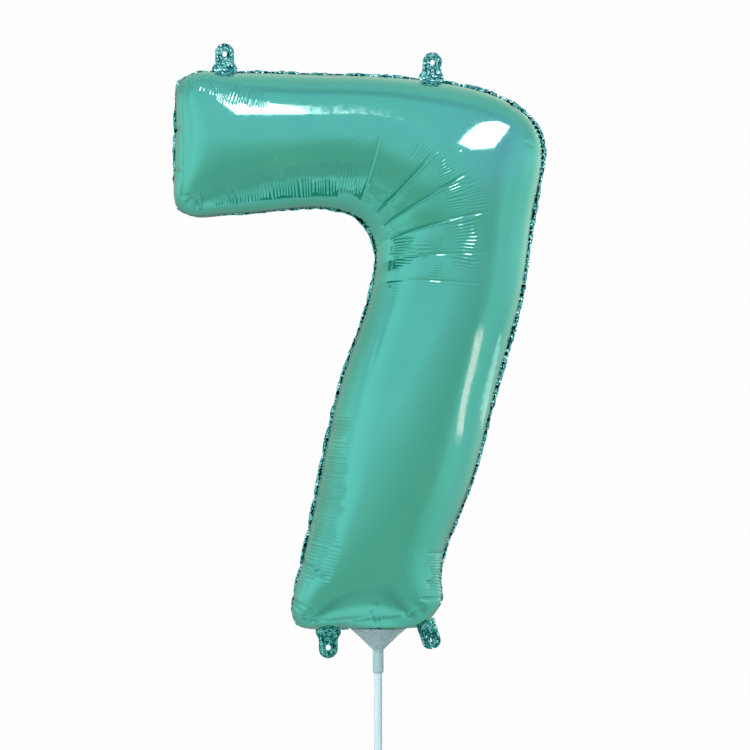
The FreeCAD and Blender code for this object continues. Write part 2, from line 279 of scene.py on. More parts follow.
def finer(film, nu, nv):
    """The film on a fine grid, with rows closer together in the bend and columns closer near the seams."""
    s = stroke_params()
    even = np.linspace(0, 1, 2001)
    density = key(ROW_DENSITY, np.interp(even * s[-1], s, np.arange(len(SEAM))))
    count = np.concatenate([[0], np.cumsum(density[1:] + density[:-1])])
    u = np.interp(np.linspace(0, 1, nu), count / count[-1], even)
    v = np.linspace(0, 1, nv)
    v = v - 0.25 * np.sin(2 * np.pi * v) / (2 * np.pi)
    film = natural_spline(film, np.linspace(0, 1, film.shape[0]), u)
    film = natural_spline(film.transpose(1, 0, 2), np.linspace(0, 1, film.shape[1]), v)
    return film.transpose(1, 0, 2), u, v


def seated(x):
    """The film's foot pressed on the cup: flat on its rim, and bulging into its bowl."""
    (_, _, _), (rim, _, top) = np.array(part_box("cup")) / MM
    r = np.hypot(x[..., 0], x[..., 1])
    seat = top + 0.3 - 2.5 * np.clip(1 - (r / rim) ** 2, 0, 1)
    pull = np.clip((SEAT_SPREAD - r) / (SEAT_SPREAD - rim), 0, 1)
    pull = pull * pull * (3 - 2 * pull)
    above = np.maximum(x[..., 2] - seat, 0)
    low = np.exp(-(above / SEAT_RISE) ** 2)
    y = x.copy()
    y[..., 2] -= pull * low * above
    return y


def film_normals(x):
    """Normals of a film grid, pointing to the front."""
    n = np.cross(np.gradient(x, axis=0), np.gradient(x, axis=1))
    n /= np.linalg.norm(n, axis=-1)[..., None] + 1e-12
    return n if n[..., 1].mean() < 0 else -n


def arc(x, axis):
    """Distance along the film from the grid's first row or column."""
    d = np.linalg.norm(np.diff(x, axis=axis), axis=-1)
    pad = [(0, 0), (0, 0)]
    pad[axis] = (1, 0)
    return np.pad(np.cumsum(d, axis=axis), pad)


def wander(at, pitch, rng):
    """Smooth noise between -1 and 1 along a line, with a value every pitch."""
    count = int(np.max(at) / pitch) + 3
    values = rng.uniform(-1, 1, count)
    place = np.asarray(at) / pitch
    k = np.clip(place.astype(int), 0, count - 2)
    f = place - k
    f = f * f * (3 - 2 * f)
    return values[k] * (1 - f) + values[k + 1] * f


def patchy(s, w, pitch_s, pitch_w, rng):
    """Smooth noise between -1 and 1 over distance along and in from a seam."""
    ns, nw = int(s.max() / pitch_s) + 3, int(w.max() / pitch_w) + 3
    table = rng.uniform(-1, 1, (ns, nw))
    a, b = s / pitch_s, w / pitch_w
    i, j = np.clip(a.astype(int), 0, ns - 2), np.clip(b.astype(int), 0, nw - 2)
    fa, fb = a - i, b - j
    fa, fb = fa * fa * (3 - 2 * fa), fb * fb * (3 - 2 * fb)
    low = table[i, j] * (1 - fa) + table[i + 1, j] * fa
    high = table[i, j + 1] * (1 - fa) + table[i + 1, j + 1] * fa
    return low * (1 - fb) + high * fb


def pleats(s, pitch, rng):
    """Pleats square to a seam, between -0.5 and 0.5: rounded crests with narrow valleys, unevenly spaced."""
    phase = s / pitch * np.pi + 1.3 * wander(s, pitch * 2.3, rng) + 1.1 * wander(s, pitch * 9, rng)
    return 0.5 - np.abs(np.cos(phase))


def window(p, start, stop, soft):
    """1 where p is between start and stop, and 0 outside, with edges that wide."""
    rise = np.clip((p - start) / soft + 0.5, 0, 1)
    fall = np.clip((stop - p) / soft + 0.5, 0, 1)
    return rise * rise * (3 - 2 * rise) * fall * fall * (3 - 2 * fall)


# ---- Combs: rows of short fine pleats. X, Z along the middle of the row, then in mm how far the pleats reach
# to each side of it, how far apart they are and how high they are. The pleats lie across the row ----
COMBS = [
    ([(-108.3, 590.7), (-86.4, 597.4), (-67.6, 606.1), (-48.9, 612.6), (-33.3, 614.5), (-17.6, 617.6),
      (-3.9, 620.5)], 4.8, 2.0, 0.85),
    ([(-84.0, 596.0), (-63.2, 601.6), (-46.4, 603.6), (-27.6, 603.6), (-8.9, 604.6)], 3.6, 1.8, 0.72),
    ([(-104.0, 586.4), (-77.6, 590.3), (-55.1, 593.0), (-30.1, 594.2), (-10.4, 594.8)], 4.2, 1.9, 0.90),
    ([(2.0, 620.5), (14.0, 620.0), (26.0, 614.6), (32.6, 609.0)], 5.5, 2.0, 0.70),
    ([(33.0, 612.5), (38.4, 606.0), (42.6, 597.5)], 4.6, 1.9, 0.42),
    ([(43.0, 597.5), (46.5, 589.0), (48.0, 578.0)], 5.5, 1.8, 0.70),
    ([(55.0, 598.0), (58.6, 588.0), (59.6, 578.0)], 4.5, 2.0, 0.45),
    ([(15.4, 565.0), (16.3, 556.0), (15.6, 546.0)], 7.0, 1.9, 0.62),
    ([(52.0, 575.4), (54.4, 562.0), (52.4, 545.0)], 5.5, 2.0, 0.55),
    ([(27.4, 557.5), (27.2, 549.0)], 3.4, 2.4, 1.10),
    ([(37.6, 549.5), (36.0, 541.0), (33.8, 532.0)], 2.8, 1.9, 0.80),
    ([(14.9, 545.0), (14.0, 534.0), (12.0, 522.0)], 4.8, 1.8, 0.18),
    ([(-6.0, 593.8), (2.0, 588.6), (7.4, 581.0), (12.0, 573.0)], 3.0, 1.8, 0.35),
    ([(-26.6, 452.0), (-28.0, 431.1), (-29.0, 416.1), (-31.2, 393.6), (-33.4, 374.8), (-37.4, 352.0)],
     9.2, 2.3, 0.85),
    ([(39.6, 368.0), (37.8, 354.0), (35.4, 340.5)], 6.5, 1.8, 1.20),
    ([(-21.0, 326.4), (-11.0, 327.6), (-3.4, 328.8)], 2.4, 1.6, 0.40),
    ([(-118.5, 662.4), (-102.0, 656.4), (-88.3, 651.4), (-70.0, 648.6)], 5.8, 1.8, 0.90),
    ([(100.0, 612.0), (100.6, 624.0), (96.0, 638.0), (84.0, 648.0)], 3.4, 3.0, 0.60),
]
# ---- Creases that run out from the digit's inner corner: X, Z of their two ends, in mm. The film swells
# between one and the next ----
FANNED = [
    ((-25.0, 590.0), (-26.4, 613.0)),
    ((-9.6, 589.3), (1.2, 625.0)),
    ((0.4, 579.9), (33.9, 613.4)),
    ((5.1, 572.2), (52.6, 600.1)),
    ((11.3, 564.4), (64.2, 576.8)),
    ((9.0, 549.0), (62.0, 553.0)),
    ((7.0, 536.0), (59.0, 534.0)),
]
FANNED_DEPTH = (0.4, 1.4, 2.2, 2.2, 1.8, 0.5, 0.4)
SWELL_REACH = 46.0          # how far from the seam the swell runs out
SWELL = 0.75                # how far the film stands out between two of those creases
# ---- Creases: X, Z of the two ends, depth and half width, in mm. A ridge has a depth below zero ----
CREASES = [
    ((1.1, 599.8), (6.8, 612.3), 0.14, 0.6),
    ((-8.0, 590.0), (-3.0, 598.0), 0.14, 0.6),
    ((2.6, 579.6), (34.9, 611.2), -0.25, 0.5),
    ((10.6, 566.0), (40.0, 573.4), -0.22, 0.5),
    ((-121.6, 586.0), (-121.8, 657.0), 1.7, 0.5),
    ((-130.0, 630.5), (-121.8, 630.9), 1.6, 0.7),
    ((-130.0, 606.4), (-121.8, 606.0), 1.6, 0.7),
    ((-113.9, 589.0), (-118.4, 577.0), 1.3, 0.6),
    ((-113.9, 589.0), (-107.4, 576.0), 1.3, 0.6),
    ((-121.6, 588.0), (-113.9, 589.0), 0.9, 0.5),
    ((-119.0, 658.5), (-112.0, 664.5), 0.9, 0.5),
    ((-104.0, 660.0), (-99.0, 652.0), 0.7, 0.5),
    ((82.2, 651.4), (84.6, 641.6), 1.4, 0.6),
    ((91.0, 621.9), (100.4, 617.0), 1.0, 0.5),
    ((26.8, 339.9), (39.6, 339.6), 1.8, 0.5),
    ((30.6, 368.3), (44.0, 366.7), 1.2, 0.5),
    ((-48.5, 364.4), (-31.0, 352.3), 1.2, 0.5),
    ((-54.0, 339.6), (-40.0, 331.0), 1.5, 0.6),
    ((-54.0, 336.0), (-42.6, 328.0), 1.0, 0.6),
    ((8.6, 560.0), (7.4, 528.0), 0.35, 0.8),
    ((7.8, 531.0), (-5.0, 478.0), 0.5, 1.3),
    ((18.4, 329.6), (28.0, 336.6), 0.6, 1.0),
    ((31.6, 327.0), (36.4, 333.0), 0.6, 0.6),
    ((-49.0, 328.0), (-27.0, 325.4), 0.80, 0.8),
    ((-29.4, 325.6), (-1.0, 329.0), 0.90, 0.7),
    ((-3.0, 328.8), (16.0, 330.6), 0.80, 0.8),
    ((-43.6, 392.3), (-35.7, 384.2), 0.9, 0.5),
    ((-2.3, 338.6), (-2.7, 331.6), -0.45, 0.5),
    ((-4.0, 334.0), (-1.0, 328.0), 1.0, 0.6),
    ((-1.2, 329.4), (0.6, 320.6), 1.2, 0.6),
    ((-26.4, 328.0), (-24.0, 320.0), 0.8, 0.5),
    ((-40.2, 328.0), (-38.0, 320.0), 0.8, 0.5),
]
# ---- Broken lines where one stretch of film meets the next, in mm ----
FOLDS = [
    ([(-9.6, 589.3), (0.4, 579.9), (5.1, 572.2), (11.3, 564.4), (8.6, 561.0), (8.4, 553.0)], 0.9),
    ([(39.9, 618.0), (48.0, 614.2), (52.4, 606.7), (53.2, 599.6)], -0.45),
    ([(39.4, 597.0), (41.4, 580.0), (39.0, 548.0), (34.0, 528.0)], 0.5),
    ([(60.6, 592.0), (61.2, 572.0), (59.0, 546.0)], 0.35),
]


def crease_field(x, a, b, depth, half):
    """A V-shaped crease along a straight line, seen from the front, that fades out at its ends."""
    p = x[..., 0::2]
    a, b = np.array(a), np.array(b)
    run = np.linalg.norm(b - a)
    t = np.clip(((p - a) @ (b - a)) / run ** 2, 0, 1)
    d = np.linalg.norm(p - (a + t[..., None] * (b - a)), axis=-1)
    taper = np.sqrt(np.clip(np.minimum(t, 1 - t) * 8, 0, 1)) * np.clip(1.4 - t, 0.5, 1)
    return -depth * taper * np.exp(-d / half)


def fan_field(x, p_in):
    """The creases that fan out from the inner corner, and the swell of the film between them."""
    rows, columns = np.arange(x.shape[0])[:, None], np.arange(x.shape[1])[None]
    lines, runs = [], []
    for ends in FANNED:
        spots = []
        for end in ends:
            far = np.linalg.norm(x[..., 0::2] - np.array(end), axis=-1)
            spots.append(np.unravel_index(far.argmin(), far.shape))
        (i0, j0), (i1, j1) = spots
        run = (columns - j0) / (j1 - j0)
        lines.append(i0 + (i1 - i0) * run)
        runs.append(np.clip(run * 8 + 1, 0, 1) * np.clip((1.08 - run) * 5, 0, 1))
    step = np.linalg.norm(np.gradient(x, axis=0), axis=-1)
    swell = np.zeros(x.shape[:2])
    for first, last in zip(lines[:-1], lines[1:]):
        t = np.clip((rows - first) / (last - first), 0, 1)
        swell += SWELL * np.sin(np.pi * t) * np.minimum(1, (last - first) * step / 14.0)
    crease = np.zeros(x.shape[:2])
    for line, run, depth in zip(lines, runs, FANNED_DEPTH):
        off = (rows - line) * step
        shape = 0.45 * np.exp(-np.abs(off) / 0.5) - 0.16 * np.exp(-(np.abs(off - 1.3) / 0.6) ** 2)
        crease -= depth * shape * run
    return swell * window(p_in, 8, SWELL_REACH, 14.0) + crease


def comb_field(x, points, half, pitch, height, rng):
    """A row of short pleats along a curve, seen from the front, with uneven ends."""
    knots = np.array(points)
    at = np.concatenate([[0], np.cumsum(np.linalg.norm(np.diff(knots, axis=0), axis=1))])
    line = natural_spline(knots, at, np.linspace(0, at[-1], int(at[-1] / 0.8) + 2))
    tangent = np.gradient(line, axis=0)
    tangent /= np.linalg.norm(tangent, axis=1)[:, None]
    run = np.concatenate([[0], np.cumsum(np.linalg.norm(np.diff(line, axis=0), axis=1))])
    field = np.zeros(x.shape[:2])
    flat = x[..., 0::2]
    close = ((flat > line.min(0) - half - 3) & (flat < line.max(0) + half + 3)).all(-1)
    p = flat[close]
    nearest = ((p[:, None] - line[None]) ** 2).sum(-1).argmin(1)
    off = p - line[nearest]
    s = np.clip(run[nearest] + (off * tangent[nearest]).sum(-1), -3, run[-1] + 3) + 3
    d = np.abs(off[:, 0] * tangent[nearest, 1] - off[:, 1] * tangent[nearest, 0])
    reach = half * (0.85 + 0.35 * wander(s, pitch * 1.7, rng))
    ends = np.clip(np.minimum(s, run[-1] + 6 - s) / 6, 0, 1)
    share = np.clip(0.8 + 0.5 * wander(s, pitch * 4, rng), 0.2, 1.2)
    field[close] = height * share * ends * pleats(s, pitch, rng) * np.clip((reach - d) / 1.6 + 0.5, 0, 1)
    return field


def relief(x, u, rng, shift):
    """How far each point of the film stands out from the blown shape, in mm."""
    s = stroke_params()
    place = np.interp(u * s[-1], s, np.arange(len(SEAM)))[:, None]
    across, along = arc(x, 1), arc(x, 0)
    w_in, w_out = across, across[:, -1:] - across
    w_bar, w_stem = along, along[-1:] - along
    p_in = np.linalg.norm((x - x[:, :1])[..., 0::2], axis=-1)
    s_in, s_out = (np.broadcast_to(arc(edge, 0), w_in.shape) for edge in (x[:, :1], x[:, -1:]))
    s_bar, s_stem = (np.broadcast_to(arc(edge, 1), w_in.shape) for edge in (x[:1], x[-1:]))
    high = fan_field(x, p_in)
    puckers = ((s_in, w_in, 3.4, 0.40, 6.0), (s_out, w_out, 3.6, 0.55, 6.0),
               (s_bar, w_bar, 14.0, 1.2, 8.0), (s_stem, w_stem, 4.2, 1.0, 9.0))
    for s_edge, w_edge, pitch, height, fade in puckers:
        share = np.clip(0.7 + 0.6 * patchy(s_edge, w_edge, pitch * 3, 7.0, rng), 0.1, 1.3)
        high = high + height * share * pleats(s_edge, pitch, rng) * np.exp(-(w_edge / fade) ** 1.5)

    def moved(point):
        return np.array(point) + shift * rng.uniform(-1, 1, 2)

    for points, half, pitch, height in COMBS:
        high = high + comb_field(x, [moved(point) for point in points], half, pitch, height, rng)
    for a, b, depth, half in CREASES:
        high = high + crease_field(x, moved(a), moved(b), depth, half)
    for points, depth in FOLDS:
        points = [moved(point) for point in points]
        for a, b in zip(points[:-1], points[1:]):
            high = high + crease_field(x, a, b, depth, 0.7)
    rim = np.minimum(np.minimum(w_in, w_out), np.minimum(w_bar, w_stem))
    return high * np.clip(rim / 0.8, 0, 1)


def panel(film, side, seed, name, body_node, material):
    """One film panel with its sealed edge; side is -1 for the front and 1 for the back."""
    rng = np.random.default_rng(seed)
    x, u, v = finer(film, *FINE)
    x = seated(x)
    n = film_normals(x)
    x = x + n * relief(x, u, rng, 0.0 if side < 0 else 2.2)[..., None]
    np.minimum(x[..., 1], -0.06, out=x[..., 1])
    x[..., 1] *= -side
    nu, nv = x.shape[:2]
    index = np.arange(nu * nv).reshape(nu, nv)
    quads = np.stack([index[:-1, :-1], index[:-1, 1:], index[1:, 1:], index[1:, :-1]], -1).reshape(-1, 4)
    verts = x.reshape(-1, 3)
    loop_ids = to_loop(index[:, 0], index[:, -1], index[0], index[-1])
    rim = verts[loop_ids]
    out = loop_normals(blur(rim[:, 0::2], 6))
    run = np.concatenate([[0], np.cumsum(np.linalg.norm(np.diff(rim[:, 0::2], axis=0), axis=1))])
    ruffle = wander(run, 2.3, np.random.default_rng(3)) + 0.6 * wander(run, 5.1, np.random.default_rng(4))
    wide = 1.3 + 0.35 * wander(run, 3.0, np.random.default_rng(5))
    wide += 0.45 * wander(run, 9.0, np.random.default_rng(6))
    wide += 0.5 * np.clip((rim[:, 0] - 60) / 20, 0, 1)
    seat = np.abs(rim[:, 0]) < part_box("cup")[1][0] / MM + 0.5
    wide = np.where(seat & (rim[:, 2] < 330), 0.05, wide)
    scallop = np.abs(np.sin(run / SCALLOP * np.pi + 0.9 * wander(run, 14.0, np.random.default_rng(8)))) ** 0.4
    hollow = (np.arange(len(rim)) < nu) & (rim[:, 2] < SCALLOP_TOP)
    wide = np.where(hollow, 0.3 + 1.6 * scallop, wide)
    rings = [loop_ids]
    body_quads = len(quads)
    for k, share in enumerate((0.35, 0.7, 1.0), 1):
        ring = np.zeros_like(rim)
        ring[:, 0::2] = rim[:, 0::2] + out * (wide * share)[:, None]
        ring[:, 1] = side * 0.06 + ruffle * 0.6 * share
        rings.append(len(verts) + np.arange(len(rim)))
        verts = np.concatenate([verts, ring])
    for a, b in zip(rings[:-1], rings[1:]):
        quads = np.concatenate([quads, np.stack([a, b, np.roll(b, -1), np.roll(a, -1)], -1)])
    if side > 0:
        quads = quads[:, ::-1]
    obj = new_piece(name, verts * MM, quads, material, "balloon", "foil", body_node)
    # the sealed edge takes the embossed film, whose darker colour is painted shade with painted glints
    obj.data.materials.append(EMBOSSED_PAINTED_SHADE)
    obj.data.polygons.foreach_set("material_index", np.repeat([0, 1], [body_quads, len(quads) - body_quads]))
    return obj


def new_piece(name, verts, faces, material, body, slot, *nodes):
    """A mesh object in metres, smooth shaded, that rides on a body and stands for CAD nodes."""
    mesh = bpy.data.meshes.new(name)
    mesh.from_pydata(np.asarray(verts).tolist(), [], np.asarray(faces).tolist())
    mesh.polygons.foreach_set("use_smooth", [True] * len(mesh.polygons))
    mesh.materials.append(material)
    mesh.validate()
    mesh.update()
    obj = bpy.data.objects.new(name, mesh)
    bpy.context.scene.collection.objects.link(obj)
    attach(obj, body)
    if nodes:
        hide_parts(*nodes)
    return obj


def new_material(name, colour, metallic=0.0, roughness=0.3):
    """A Principled material and its shader node."""
    material = bpy.data.materials.new(name)
    material.use_nodes = True
    shader = material.node_tree.nodes["Principled BSDF"]
    shader.inputs["Base Color"].default_value = (*colour, 1)
    shader.inputs["Metallic"].default_value = metallic
    shader.inputs["Roughness"].default_value = roughness
    return material, shader


def tab_piece(node, rng):
    """A hanging tab: two films sealed flat and embossed all over, crinkled, with a punched hole."""
    joint = next(j for j in frame["joints"] if j["child"] == node)
    foot = np.array(joint["pos_m"]) / MM
    axis = np.array(joint["axis"])
    up = np.array([-axis[2], 0, axis[0]])
    points = np.array([v.co for v in frame["nodes"][node].data.vertices]) / MM - foot
    top, half = (points @ up).max(), np.abs(points @ axis).max()
    folds, curl, squeeze, flare, reach = TAB_FOLDS[node]
    half = TAB_WIDTH / 2 + (half - TAB_WIDTH / 2) * flare
    hole = np.array([0.0, TAB_HOLE_HEIGHT])
    angle = np.arange(TAB_TURNS) * 2 * np.pi / TAB_TURNS
    ray = np.stack([np.sin(angle), np.cos(angle)], 1)
    edge = np.array([tab_edge(hole, r, top, half, -reach) for r in ray])
    inner = hole + ray * (TAB_HOLE_RADIUS * squeeze, TAB_HOLE_RADIUS)
    share = (np.arange(TAB_RINGS) / (TAB_RINGS - 1)) ** 0.8
    flat = inner + share[:, None, None] * (edge - inner)
    across, height = flat[..., 0], flat[..., 1]
    keep = TAB_CRUMPLE.get(node, 1.0)
    crinkle = sum(size * patchy(across + 20, height + 20, pitch, pitch * 1.5, rng)
                  for size, pitch in ((0.7, 2.2), (0.5, 1.1), (0.6, 5.0)))
    crinkle += folds * pleats(across + 20 + 0.12 * height, 3.1, rng)
    bend = crinkle * np.clip((height + 1) / 3, 0, 1) + curl * np.clip(height / top, 0, 1) ** 2
    grid = foot + across[..., None] * axis + (height * keep)[..., None] * up
    grid[..., 1] += bend
    count = TAB_RINGS * TAB_TURNS
    index = np.arange(count).reshape(TAB_RINGS, TAB_TURNS)
    near, far = index[:-1], index[1:]
    quads = np.stack([near, np.roll(near, -1, 1), np.roll(far, -1, 1), far], -1).reshape(-1, 4)
    walls = [np.stack([ring, np.roll(ring, -1), np.roll(ring, -1) + count, ring + count], -1)
             for ring in (index[0][::-1], index[-1])]
    half_thick = np.array([0, TAB_THICK / 2, 0])
    verts = np.concatenate([grid.reshape(-1, 3) - half_thick, grid.reshape(-1, 3) + half_thick])
    faces = np.concatenate([quads, quads[:, ::-1] + count] + walls)
    name = node.replace("hanging_", "") + "_film"
    # the tab takes the embossed film, whose darker colour is painted shade with painted glints
    return new_piece(name, verts * MM, faces, EMBOSSED_PAINTED_SHADE, node, "foil_tab", node)


def tab_edge(start, ray, top, half, foot):
    """Where a ray from the tab's hole meets its outline: a flared foot, straight sides and a round end."""
    side = TAB_WIDTH / 2
    far = np.linspace(0.5, 30, 300)
    p = start + far[:, None] * ray
    flare = np.clip(1 - p[:, 1] / TAB_FOOT_HEIGHT, 0, 1)
    limit = side + (half - side) * flare
    centre = top - side
    inside = (p[:, 1] > foot) & (np.abs(p[:, 0]) < limit)
    inside &= (p[:, 1] < centre) | (np.hypot(p[:, 0], p[:, 1] - centre) < side)
    return p[max(np.argmin(inside) - 1, 0)] if not inside.all() else p[-1]


def nodes_for(shader):
    """The node tree of a material, and where its textures are read, in the object's own metres."""
    tree = shader.id_data
    return tree, tree.nodes.new("ShaderNodeTexCoord").outputs["Object"]


def noise(tree, where, scale, detail=3.0, stretch=(1, 1, 1)):
    """Noise over the object, with its own size along each axis."""
    mapping = tree.nodes.new("ShaderNodeMapping")
    mapping.inputs["Scale"].default_value = stretch
    texture = tree.nodes.new("ShaderNodeTexNoise")
    texture.inputs["Scale"].default_value = scale
    texture.inputs["Detail"].default_value = detail
    tree.links.new(where, mapping.inputs["Vector"])
    tree.links.new(mapping.outputs["Vector"], texture.inputs["Vector"])
    return texture.outputs["Fac"]


def between(tree, fac, low, high, socket, start=0.35, stop=0.65):
    """Lets a texture run a number socket from low to high."""
    span = tree.nodes.new("ShaderNodeMapRange")
    span.inputs["From Min"].default_value = start
    span.inputs["From Max"].default_value = stop
    span.inputs["To Min"].default_value = low
    span.inputs["To Max"].default_value = high
    tree.links.new(fac, span.inputs["Value"])
    tree.links.new(span.outputs["Result"], socket)


def tinted(tree, fac, low, high, socket, start=0.35, stop=0.65):
    """Lets a texture run a colour socket from low to high."""
    ramp = tree.nodes.new("ShaderNodeValToRGB")
    for element, at, colour in zip(ramp.color_ramp.elements, (start, stop), (low, high)):
        element.position = at
        element.color = (*colour, 1)
    tree.links.new(fac, ramp.inputs["Fac"])
    tree.links.new(ramp.outputs["Color"], socket)


def bumped(tree, fac, shader, strength, distance):
    bump = tree.nodes.new("ShaderNodeBump")
    bump.inputs["Strength"].default_value = strength
    bump.inputs["Distance"].default_value = distance
    tree.links.new(fac, bump.inputs["Height"])
    tree.links.new(bump.outputs["Normal"], shader.inputs["Normal"])


def foil_material():
    """Metallised film: even teal with a faint cloudiness, and a gloss that varies finely."""
    material, shader = new_material("foil", (0.105, 0.52, 0.44), 1.0, 0.08)
    tree, where = nodes_for(shader)
    cloud = noise(tree, where, 14)
    tinted(tree, cloud, (0.098, 0.505, 0.430), (0.112, 0.535, 0.450), shader.inputs["Base Color"])
    between(tree, noise(tree, where, 260), 0.055, 0.115, shader.inputs["Roughness"])
    bumped(tree, noise(tree, where, 70, 2.0), shader, 0.12, 0.0004)
    return material


def embossed_material_with_painted_shade():
    """The same film where it is sealed flat: embossed all over, with a base colour darker than the foil's as
    painted shade and bright specks in it as painted glints; its bumps and varied gloss sparkle for real.
    """
    # darker base colour than the foil: painted shade of the sealed edge
    material, shader = new_material("foil_embossed", (0.060, 0.40, 0.40), 1.0, 0.18)
    tree, where = nodes_for(shader)
    # painted glints: bright specks in the base colour, where the embossed facets would catch the light
    painted_glints = noise(tree, where, 300)
    tinted(tree, painted_glints, (0.030, 0.26, 0.30), (0.26, 0.78, 0.72), shader.inputs["Base Color"])
    between(tree, noise(tree, where, 500), 0.04, 0.13, shader.inputs["Roughness"])
    cells = tree.nodes.new("ShaderNodeTexVoronoi")
    cells.inputs["Scale"].default_value = 560
    tree.links.new(where, cells.inputs["Vector"])
    bumped(tree, cells.outputs["Distance"], shader, 1.0, 0.0016)
    return material


def cup_material():
    """Clear blue-grey moulded plastic with fine scratches."""
    material, shader = new_material("cup_plastic", (0.50, 0.66, 0.70), 0.0, 0.2)
    shader.inputs["Transmission Weight"].default_value = 0.45
    shader.inputs["IOR"].default_value = 1.46
    tree, where = nodes_for(shader)
    tinted(tree, noise(tree, where, 60), (0.48, 0.71, 0.75), (0.54, 0.78, 0.81), shader.inputs["Base Color"])
    scratches = noise(tree, where, 420, 2.0, (1, 1, 0.12))
    between(tree, scratches, 0.16, 0.26, shader.inputs["Roughness"])
    bumped(tree, scratches, shader, 0.08, 0.0001)
    return material


def stick_material():
    """Pale drawn plastic tube with streaks along its length."""
    material, shader = new_material("stick_plastic", (0.74, 0.88, 0.91), 0.0, 0.22)
    shader.inputs["Transmission Weight"].default_value = 0.25
    shader.inputs["IOR"].default_value = 1.49
    tree, where = nodes_for(shader)
    streaks = noise(tree, where, 900, 2.0, (1, 1, 0.03))
    tinted(tree, streaks, (0.62, 0.85, 0.90), (0.71, 0.93, 0.97), shader.inputs["Base Color"])
    between(tree, streaks, 0.16, 0.30, shader.inputs["Roughness"])
    bumped(tree, streaks, shader, 0.15, 0.0001)
    return material


def valve_material():
    """Thin clear film of the one-way valve, lightly clouded."""
    material, shader = new_material("valve_film", (0.80, 0.88, 0.88), 0.0, 0.3)
    shader.inputs["Transmission Weight"].default_value = 0.6
    tree, where = nodes_for(shader)
    cloud = noise(tree, where, 200)
    tinted(tree, cloud, (0.74, 0.84, 0.84), (0.88, 0.93, 0.93), shader.inputs["Base Color"])
    between(tree, cloud, 0.22, 0.42, shader.inputs["Roughness"])
    return material


def valve_piece(node, side, material):
    """One film of the flat valve tube inside the balloon: a strip with soft waves."""
    (left, _, low), (right, _, high) = (np.array(corner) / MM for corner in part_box(node))
    z, x = np.meshgrid(np.linspace(low, high, 49), np.linspace(left, right, 9), indexing="ij")
    y = side * (0.10 + 0.08 * np.sin((z - low) / 6.5) * np.cos(x / 3.2))
    index = np.arange(z.size).reshape(z.shape)
    quads = np.stack([index[:-1, :-1], index[:-1, 1:], index[1:, 1:], index[1:, :-1]], -1).reshape(-1, 4)
    if side > 0:
        quads = quads[:, ::-1]
    verts = np.stack([x, y, z], -1).reshape(-1, 3) * MM
    return new_piece(node.replace("film", "sheet"), verts, quads, material, "balloon", "valve_film", node)


FOIL = foil_material()
# the embossed film, whose colour holds painted shade and painted glints
EMBOSSED_PAINTED_SHADE = embossed_material_with_painted_shade()
VALVE = valve_material()

film = blown_film()
panel(film, -1, 11, "front_film", "front_panel", FOIL)
panel(film, 1, 12, "back_film", "back_panel", FOIL)
for number, node in enumerate(n for n in sorted(frame["nodes"]) if n.startswith("hanging_tab")):
    tab_piece(node, np.random.default_rng(20 + number))
valve_piece("valve_front_film", -1, VALVE)
valve_piece("valve_back_film", 1, VALVE)
for node, material in (("cup", cup_material()), ("stick", stick_material())):
    frame["nodes"][node].data.materials.clear()
    frame["nodes"][node].data.materials.append(material)


# ---- Floor, light and camera ----
def floor():
    bpy.ops.mesh.primitive_plane_add(size=3.0, location=(0, 0, -0.0005))
    plane = bpy.context.object
    plane.name = "floor"
    material, shader = new_material("floor", (0.9, 0.9, 0.9), 0, 0.8)
    tree, where = nodes_for(shader)
    cloud = noise(tree, where, 30)
    tinted(tree, cloud, (0.895, 0.895, 0.895), (0.91, 0.91, 0.91), shader.inputs["Base Color"])
    plane.data.materials.append(material)
    plane.visible_glossy = False


WHITE, BLACK = (1, 1, 1), (0, 0, 0)
# Height of the reflected direction, and the colour of the studio there: pale floor, dim green-grey room,
# bright top
ROOM = [(-1.0, (0.95, 0.98, 0.95)), (-0.96, (0.92, 0.96, 0.90)), (-0.88, (0.60, 0.68, 0.60)),
        (-0.65, (0.56, 0.62, 0.53)), (-0.35, (0.68, 0.73, 0.64)), (-0.12, (0.76, 0.79, 0.72)),
        (0.0, (0.84, 0.85, 0.82)), (0.10, (0.90, 0.91, 0.94)), (0.5, (0.88, 0.92, 0.98)),
        (1.0, (0.86, 0.90, 0.95))]
# How bright the lower half of the room is from left to right, X -1 to 1
LOW_SIDES = [(at, (level,) * 3) for at, level in (
    (-1.0, 0.8), (-0.8, 0.7), (-0.60, 1.3), (-0.36, 0.74), (-0.12, 1),
    (0.12, 1), (0.36, 0.74), (0.60, 1.3), (0.8, 0.7), (1.0, 0.8))]
# How bright the lit backdrop is by height
BACKDROP_HEIGHT = [(at, (level,) * 3) for at, level in (
    (-0.7, 0.78), (-0.25, 0.86), (0.05, 1.15), (0.40, 0.80), (1.0, 0.85))]
# The backdrop by how far behind the balloon the film mirrors it, where it is lit and where the balloon
# shades it
BACKDROP = [(0.0, (1.0, 1.0, 0.98)), (0.5, (0.90, 0.94, 0.90)), (0.8, (0.95, 1.0, 0.88)),
            (1.0, (1.05, 1.1, 0.85))]
BACKDROP_SHADE = [(0.0, (1.0, 1.0, 0.98)), (0.30, (0.90, 0.94, 0.88)), (0.55, (0.74, 0.80, 0.70)),
                  (0.85, (0.52, 0.60, 0.52)), (0.95, (0.25, 0.30, 0.30)), (1.0, (0.15, 0.20, 0.22))]
SHADED_WAY = (-0.55, 0.40, -0.75)   # the side of the backdrop that the balloon shades
SIDE_DARK = (0.70,) * 3             # how dark the room is straight beside the balloon
SIDE_GLOW = (0.17, 0.18, 0.17)      # light that the far sides add
LILAC = (1.0, 0.82, 0.95, 1)        # tint of the upper right of the room
SEEN_WHITE = (0.99, 0.99, 0.99, 1)  # the backdrop as the camera sees it


